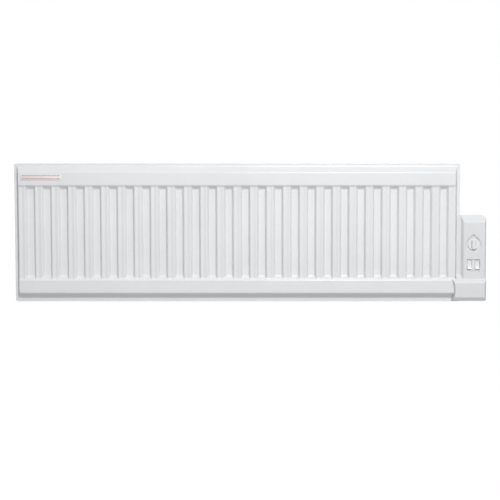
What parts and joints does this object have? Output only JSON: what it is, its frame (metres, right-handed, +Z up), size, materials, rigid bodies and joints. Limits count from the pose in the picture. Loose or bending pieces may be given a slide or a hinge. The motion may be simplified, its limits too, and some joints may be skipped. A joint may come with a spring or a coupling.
{
  "type": "baseboard heater",
  "caption": "Low wall-hung oil-filled electric panel heater with upright flutes, wall brackets and an end control box with knob and rocker switches.",
  "frame": {"origin": "on the wall plane, at the middle of the panel's length and height", "axes": "+X along the heater to the control box, +Y into the wall, +Z up"},
  "size_m": [1.0235, 0.06, 0.3],
  "materials": {
    "enamel": "white stove enamel, semi-gloss, faint orange peel",
    "zinc": "bright zinc plate",
    "steel": "bare mild steel, machined",
    "brass": "machined brass",
    "copper": "drawn copper tube, dull",
    "gasket": "pressed fibre sealing ring",
    "plastic": "white moulded plastic, fine satin grain",
    "knob_plastic": "white moulded plastic, slightly glossier",
    "grey_plastic": "light grey moulded plastic",
    "black_plastic": "dark moulded thermoset",
    "rubber": "moulded rubber bush",
    "brown_wire": "insulated wire",
    "blue_wire": "insulated wire",
    "earth_wire": "insulated wire",
    "label": "thin printed sticker with plain marks only"
  },
  "bodies": {
    "heater": {"front_panel_sheet": "enamel", "rear_panel_sheet": "enamel", "label_sticker": "label", "element_bushing": "steel", "element_gasket": "gasket", "element_plug": "brass", "heating_element": "copper", "element_pin_upper": "steel", "element_pin_lower": "steel", "control_box_base": "plastic", "cover_screw_upper": "zinc", "cover_screw_lower": "zinc", "control_box_cover": "plastic", "box_support_tab": "enamel", "box_support_screw": "zinc", "thermostat_body": "black_plastic", "thermostat_sensor": "copper", "switch_housing": "plastic", "overheat_cutout": "black_plastic", "terminal_block": "grey_plastic", "earth_screw": "brass", "cable_grommet": "rubber", "wire_supply_to_switch": "brown_wire", "wire_switch_to_thermostat": "brown_wire", "wire_thermostat_to_cutout": "brown_wire", "wire_cutout_to_element": "brown_wire", "wire_neutral_to_element": "blue_wire", "wire_earth": "earth_wire", "wall_bracket_left": "zinc", "hanger_strap_upper_left": "enamel", "hanger_strap_lower_left": "enamel", "wall_bracket_right": "zinc", "hanger_strap_upper_right": "enamel", "hanger_strap_lower_right": "enamel"},
    "knob": {"thermostat_knob": "knob_plastic", "thermostat_shaft": "steel"},
    "rocker_left": {"rocker_left": "knob_plastic"},
    "rocker_right": {"rocker_right": "knob_plastic"}
  },
  "joints": [
    {"name": "thermostat_turn", "type": "hinge", "parent": "heater", "child": "knob", "pos_m": [0.512, -0.054, -0.025], "axis": [0, 1, 0], "range_deg": [-135, 135]},
    {"name": "rocker_left_tilt", "type": "hinge", "parent": "heater", "child": "rocker_left", "pos_m": [0.5036, -0.049, -0.0695], "axis": [1, 0, 0], "range_deg": [0, 14]},
    {"name": "rocker_right_tilt", "type": "hinge", "parent": "heater", "child": "rocker_right", "pos_m": [0.5204, -0.049, -0.0695], "axis": [1, 0, 0], "range_deg": [0, 14]}
  ]
}
